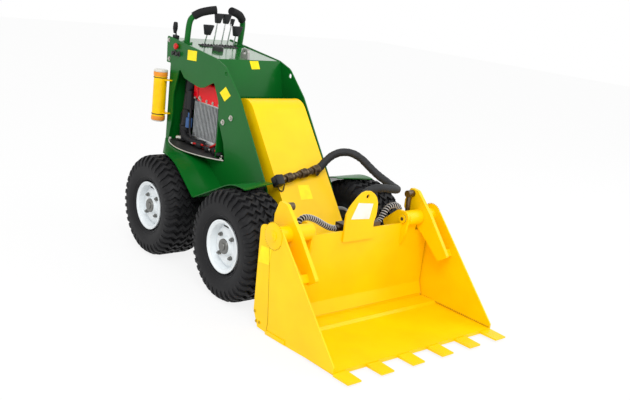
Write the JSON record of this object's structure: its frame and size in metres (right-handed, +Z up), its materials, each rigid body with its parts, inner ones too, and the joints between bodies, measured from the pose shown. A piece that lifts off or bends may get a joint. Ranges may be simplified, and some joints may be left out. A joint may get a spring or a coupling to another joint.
{
  "type": "mini skid steer loader",
  "caption": "Compact wheeled skid steer loader with a central lift arm, a clam-opening bucket and stand-behind levers.",
  "frame": {"origin": "bottom centre of the whole machine's box, on the floor", "axes": "+Z up, +Y towards the rear, the bucket faces -Y, +X is the machine's left side"},
  "size_m": [0.85, 1.765, 1.1368],
  "materials": {
    "green_paint": "gloss machine enamel, mid green",
    "yellow_paint": "gloss machine enamel, warm yellow",
    "red_cowl": "gloss red enamel",
    "tyre_rubber": "ribbed rubber",
    "rim_white": "gloss white enamel",
    "bare_steel": "plain worn steel",
    "ram_black": "black enamel",
    "ram_chrome": "polished chrome",
    "engine_alloy": "cast finned alloy",
    "black_plastic": "moulded black plastic",
    "button_plastic": "gloss plastic buttons",
    "foam_grip": "closed foam sleeve",
    "tube_yellow": "yellow plastic tube with dark bands",
    "hose_black": "braided sleeve over rubber hose",
    "hose_grey": "grey spiral guard over rubber hose",
    "fitting_steel": "plated couplings"
  },
  "bodies": {
    "chassis": {"side_plate_right": "green_paint", "side_plate_left": "green_paint", "fender_right": "green_paint", "fender_left": "green_paint", "hood_panel": "green_paint", "control_panel": "green_paint", "rear_panel": "green_paint", "belly_pan": "green_paint", "engine_tray": "bare_steel", "chassis_brackets": "green_paint", "arm_pins": "bare_steel", "wheel_motors": "ram_black", "engine_block": "engine_alloy", "engine_cover": "red_cowl", "fuel_tank": "black_plastic", "muffler": "ram_black", "grab_handles": "green_paint", "grab_grips": "foam_grip", "control_levers": "black_plastic", "lever_guide": "black_plastic", "lifting_lug": "bare_steel", "document_tube": "tube_yellow", "rear_bumper": "ram_black", "stop_buttons": "button_plastic", "throttle_lever": "black_plastic"},
    "wheel_front_right": {"tyre_front_right": "tyre_rubber", "rim_front_right": "rim_white"},
    "wheel_front_left": {"tyre_front_left": "tyre_rubber", "rim_front_left": "rim_white"},
    "wheel_rear_right": {"tyre_rear_right": "tyre_rubber", "rim_rear_right": "rim_white"},
    "wheel_rear_left": {"tyre_rear_left": "tyre_rubber", "rim_rear_left": "rim_white"},
    "arm": {"lift_arm": "yellow_paint", "hose_blocks": "fitting_steel", "hose_upper": "hose_black"},
    "hitch": {"hitch_pin": "bare_steel", "hitch_sleeves": "bare_steel", "hose_lower": "hose_black"},
    "lift_barrel": {"lift_barrels": "ram_black"},
    "lift_rod": {"lift_rods": "ram_chrome"},
    "tilt_barrel": {"tilt_barrel": "ram_black"},
    "tilt_rod": {"tilt_rod": "ram_chrome"},
    "bucket": {"bucket_back": "yellow_paint", "eye_plate": "yellow_paint", "bucket_ports": "fitting_steel", "clam_pins": "bare_steel", "hose_guard_right": "hose_grey", "hose_guard_left": "hose_grey"},
    "clam": {"clam_shell": "yellow_paint", "clam_teeth": "yellow_paint", "clam_arms": "yellow_paint"},
    "clam_barrel": {"clam_barrels": "yellow_paint"},
    "clam_rod": {"clam_rods": "ram_chrome"}
  },
  "joints": [
    {"name": "wheel_front_right_spin", "type": "hinge", "parent": "chassis", "child": "wheel_front_right", "pos_m": [-0.319, -0.062, 0.23], "axis": [1, 0, 0], "continuous": true},
    {"name": "wheel_front_left_spin", "type": "hinge", "parent": "chassis", "child": "wheel_front_left", "pos_m": [0.319, -0.062, 0.23], "axis": [1, 0, 0], "continuous": true},
    {"name": "wheel_rear_right_spin", "type": "hinge", "parent": "chassis", "child": "wheel_rear_right", "pos_m": [-0.319, 0.548, 0.23], "axis": [1, 0, 0], "continuous": true},
    {"name": "wheel_rear_left_spin", "type": "hinge", "parent": "chassis", "child": "wheel_rear_left", "pos_m": [0.319, 0.548, 0.23], "axis": [1, 0, 0], "continuous": true},
    {"name": "arm_lift", "type": "hinge", "parent": "chassis", "child": "arm", "pos_m": [0, 0.243, 0.69], "axis": [-1, 0, 0], "range_deg": [0, 90]},
    {"name": "hitch_levelling", "type": "hinge", "parent": "arm", "child": "hitch", "pos_m": [0, -0.22604, 0.14242], "axis": [-1, 0, 0], "range_deg": [-90, 0], "deforming": ["hose_upper"]},
    {"name": "bucket_tilt", "type": "hinge", "parent": "hitch", "child": "bucket", "pos_m": [0, -0.22604, 0.14242], "axis": [1, 0, 0], "range_deg": [-10, 40], "deforming": ["hose_lower"]},
    {"name": "clam_opening", "type": "hinge", "parent": "bucket", "child": "clam", "pos_m": [0, -0.407, 0.385], "axis": [-1, 0, 0], "range_deg": [0, 45]},
    {"name": "lift_ram_swing", "type": "hinge", "parent": "chassis", "child": "lift_barrel", "pos_m": [0, 0.343, 0.18], "axis": [-1, 0, 0], "range_deg": [-1, 10.6]},
    {"name": "lift_ram_stroke", "type": "slide", "parent": "lift_barrel", "child": "lift_rod", "axis": [0, -0.5314, 0.8471], "range_m": [-0.0005, 0.26908]},
    {"name": "tilt_ram_swing", "type": "hinge", "parent": "chassis", "child": "tilt_barrel", "pos_m": [0, 0.239, 0.61], "axis": [-1, 0, 0], "range_deg": [-1, 91]},
    {"name": "tilt_ram_stroke", "type": "slide", "parent": "tilt_barrel", "child": "tilt_rod", "axis": [0, -0.6505, -0.7595], "range_m": [-0.04374, 0.01131]},
    {"name": "clam_ram_swing", "type": "hinge", "parent": "bucket", "child": "clam_barrel", "pos_m": [0, -0.369, 0.1], "axis": [-1, 0, 0], "range_deg": [-1, 10.08]},
    {"name": "clam_ram_stroke", "type": "slide", "parent": "clam_barrel", "child": "clam_rod", "axis": [0, 0.0321, 0.9995], "range_m": [-0.05635, 0.0005]}
  ],
  "couplings": [
    {"joint": "hitch_levelling", "follows": "arm_lift", "ratio": -1},
    {"joint": "lift_ram_swing", "follows": "arm_lift", "ratio": 0.10666},
    {"joint": "lift_ram_stroke", "follows": "arm_lift", "m_per_rad": 0.17098},
    {"joint": "tilt_ram_swing", "follows": "arm_lift", "ratio": 1},
    {"joint": "tilt_ram_stroke", "follows": "bucket_tilt", "m_per_rad": -0.061934},
    {"joint": "clam_ram_swing", "follows": "clam_opening", "ratio": 0.20176},
    {"joint": "clam_ram_stroke", "follows": "clam_opening", "m_per_rad": -0.071116}
  ]
}
